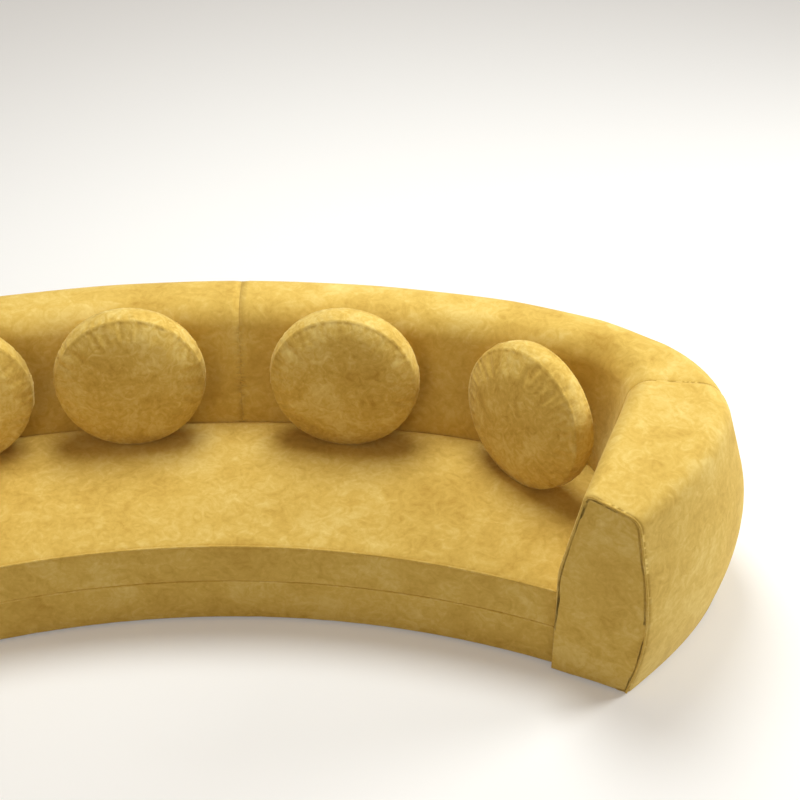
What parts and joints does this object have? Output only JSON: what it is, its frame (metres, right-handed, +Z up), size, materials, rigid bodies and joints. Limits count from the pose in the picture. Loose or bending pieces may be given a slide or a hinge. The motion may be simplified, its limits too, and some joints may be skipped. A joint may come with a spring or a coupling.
{
  "type": "curved sofa",
  "caption": "Long curved sofa in mustard velvet with a rounded back that sweeps into thick flat-fronted arms, a crescent seat cushion and round scatter cushions",
  "frame": {"origin": "middle of the sofa's footprint, on the floor", "axes": "+X along the sofa, +Y to the rear, +Z up; the seat opens towards -Y"},
  "size_m": [3.376, 1.3656, 0.8438],
  "materials": {
    "body_velvet": "mustard yellow crushed velvet",
    "seat_velvet": "mustard yellow crushed velvet",
    "cushion_velvet": "mustard yellow crushed velvet",
    "piping_velvet": "mustard yellow velvet on cord",
    "lining_cloth": "black nonwoven lining",
    "foam": "open cell",
    "wadding": "loose fibre",
    "webbing": "woven elastic strap",
    "bolt_steel": "zinc plated",
    "foot_plastic": "black nylon",
    "plywood": "raw birch plywood"
  },
  "bodies": {
    "frame": {"arm_cover_left": "body_velvet", "arm_cover_right": "body_velvet", "arm_foam_left": "foam", "arm_foam_right": "foam", "arm_front_board_left": "plywood", "arm_front_board_right": "plywood", "arm_front_cover_left": "body_velvet", "arm_front_cover_right": "body_velvet", "arm_front_pad_left": "wadding", "arm_front_pad_right": "wadding", "arm_piping_left": "piping_velvet", "arm_piping_right": "piping_velvet", "arm_rail_left": "plywood", "arm_rail_right": "plywood", "arm_rib_left": "plywood", "arm_rib_right": "plywood", "back_cover_left": "body_velvet", "back_cover_right": "body_velvet", "back_foam_left": "foam", "back_foam_right": "foam", "back_rib_1_left": "plywood", "back_rib_1_right": "plywood", "back_rib_2_left": "plywood", "back_rib_2_right": "plywood", "base_board_left": "plywood", "base_board_right": "plywood", "base_front_cover": "body_velvet", "base_front_pad": "wadding", "centre_bolts": "bolt_steel", "centre_rib_left": "plywood", "centre_rib_right": "plywood", "corner_rib_left": "plywood", "corner_rib_right": "plywood", "crest_rail_left": "plywood", "crest_rail_right": "plywood", "curved_webbing": "webbing", "deck_felt": "wadding", "deck_rail": "plywood", "dust_cover": "lining_cloth", "elbow_rib_left": "plywood", "elbow_rib_right": "plywood", "feet": "foot_plastic", "front_rail": "plywood", "nut_plates": "bolt_steel", "radial_webbing": "webbing", "side_rail_left": "plywood", "side_rail_right": "plywood"},
    "seat_cushion": {"seat_cushion_cover": "seat_velvet", "seat_cushion_core": "foam", "seat_piping_top": "piping_velvet", "seat_piping_bottom": "piping_velvet"},
    "scatter_cushion_1": {"scatter_cover_1": "cushion_velvet", "scatter_filling_1": "wadding"},
    "scatter_cushion_2": {"scatter_cover_2": "cushion_velvet", "scatter_filling_2": "wadding"},
    "scatter_cushion_3": {"scatter_cover_3": "cushion_velvet", "scatter_filling_3": "wadding"},
    "scatter_cushion_4": {"scatter_cover_4": "cushion_velvet", "scatter_filling_4": "wadding"}
  },
  "joints": [
    {"name": "lift_seat_cushion", "type": "slide", "parent": "frame", "child": "seat_cushion", "axis": [0, 0, 1], "range_m": [0, 0.62]},
    {"name": "lift_scatter_cushion_1", "type": "slide", "parent": "seat_cushion", "child": "scatter_cushion_1", "axis": [0, 0, 1], "range_m": [0, 0.6]},
    {"name": "lift_scatter_cushion_2", "type": "slide", "parent": "seat_cushion", "child": "scatter_cushion_2", "axis": [0, 0, 1], "range_m": [0, 0.6]},
    {"name": "lift_scatter_cushion_3", "type": "slide", "parent": "seat_cushion", "child": "scatter_cushion_3", "axis": [0, 0, 1], "range_m": [0, 0.6]},
    {"name": "lift_scatter_cushion_4", "type": "slide", "parent": "seat_cushion", "child": "scatter_cushion_4", "axis": [0, 0, 1], "range_m": [0, 0.6]}
  ]
}
